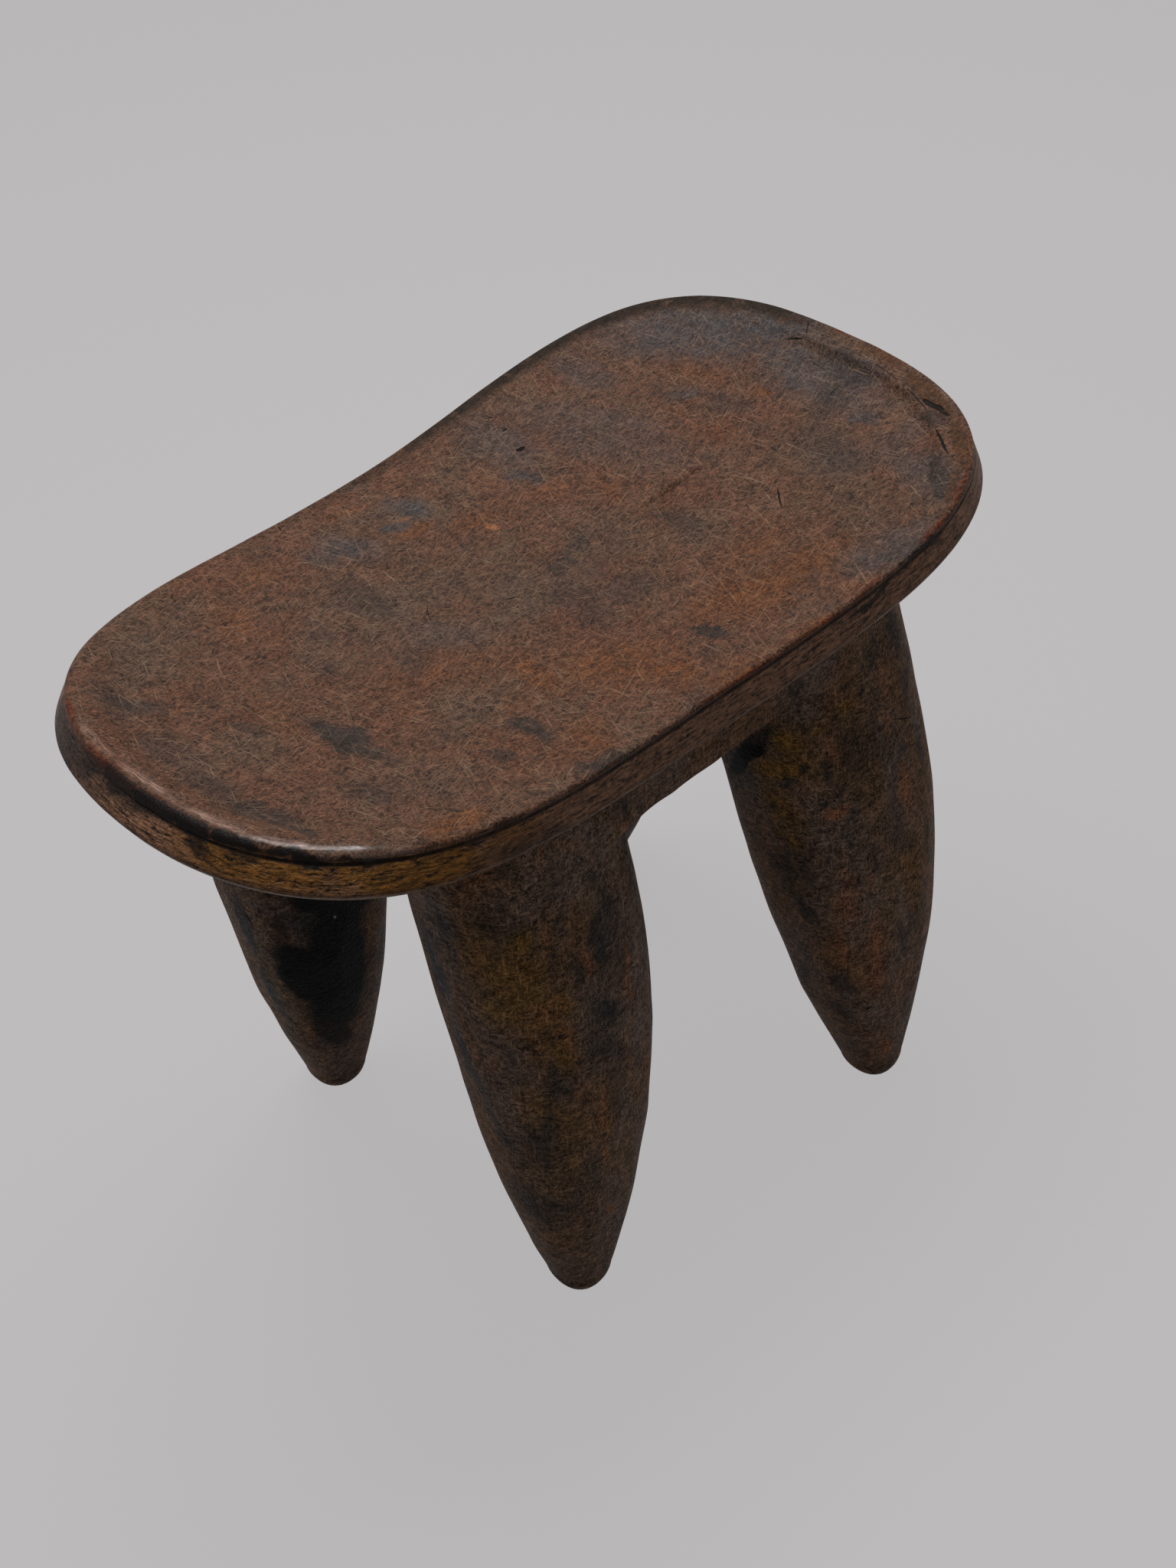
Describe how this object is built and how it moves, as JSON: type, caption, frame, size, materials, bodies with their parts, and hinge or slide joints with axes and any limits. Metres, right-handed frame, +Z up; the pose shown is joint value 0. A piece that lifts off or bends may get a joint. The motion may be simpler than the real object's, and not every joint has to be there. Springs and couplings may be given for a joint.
{
  "type": "carved stool",
  "caption": "Low carved wooden stool: saddle-shaped seat slab with raised end lips, a stepped block below it and thick tapering splayed legs on blunt feet.",
  "frame": {"origin": "on the floor, under the middle of the seat", "axes": "+X along the seat, +Y across it towards the back, +Z up"},
  "size_m": [0.47, 0.2795, 0.3822],
  "materials": {
    "worn_seat_wood": "hand-worn dark brown wood with an oily patina",
    "dark_leg_wood": "smoke-darkened adzed wood with ochre wear"
  },
  "bodies": {
    "root": {"seat": "worn_seat_wood", "under_seat_block": "dark_leg_wood", "leg_front_left": "dark_leg_wood", "leg_front_right": "dark_leg_wood", "leg_back_left": "dark_leg_wood", "leg_back_right": "dark_leg_wood"}
  },
  "joints": []
}
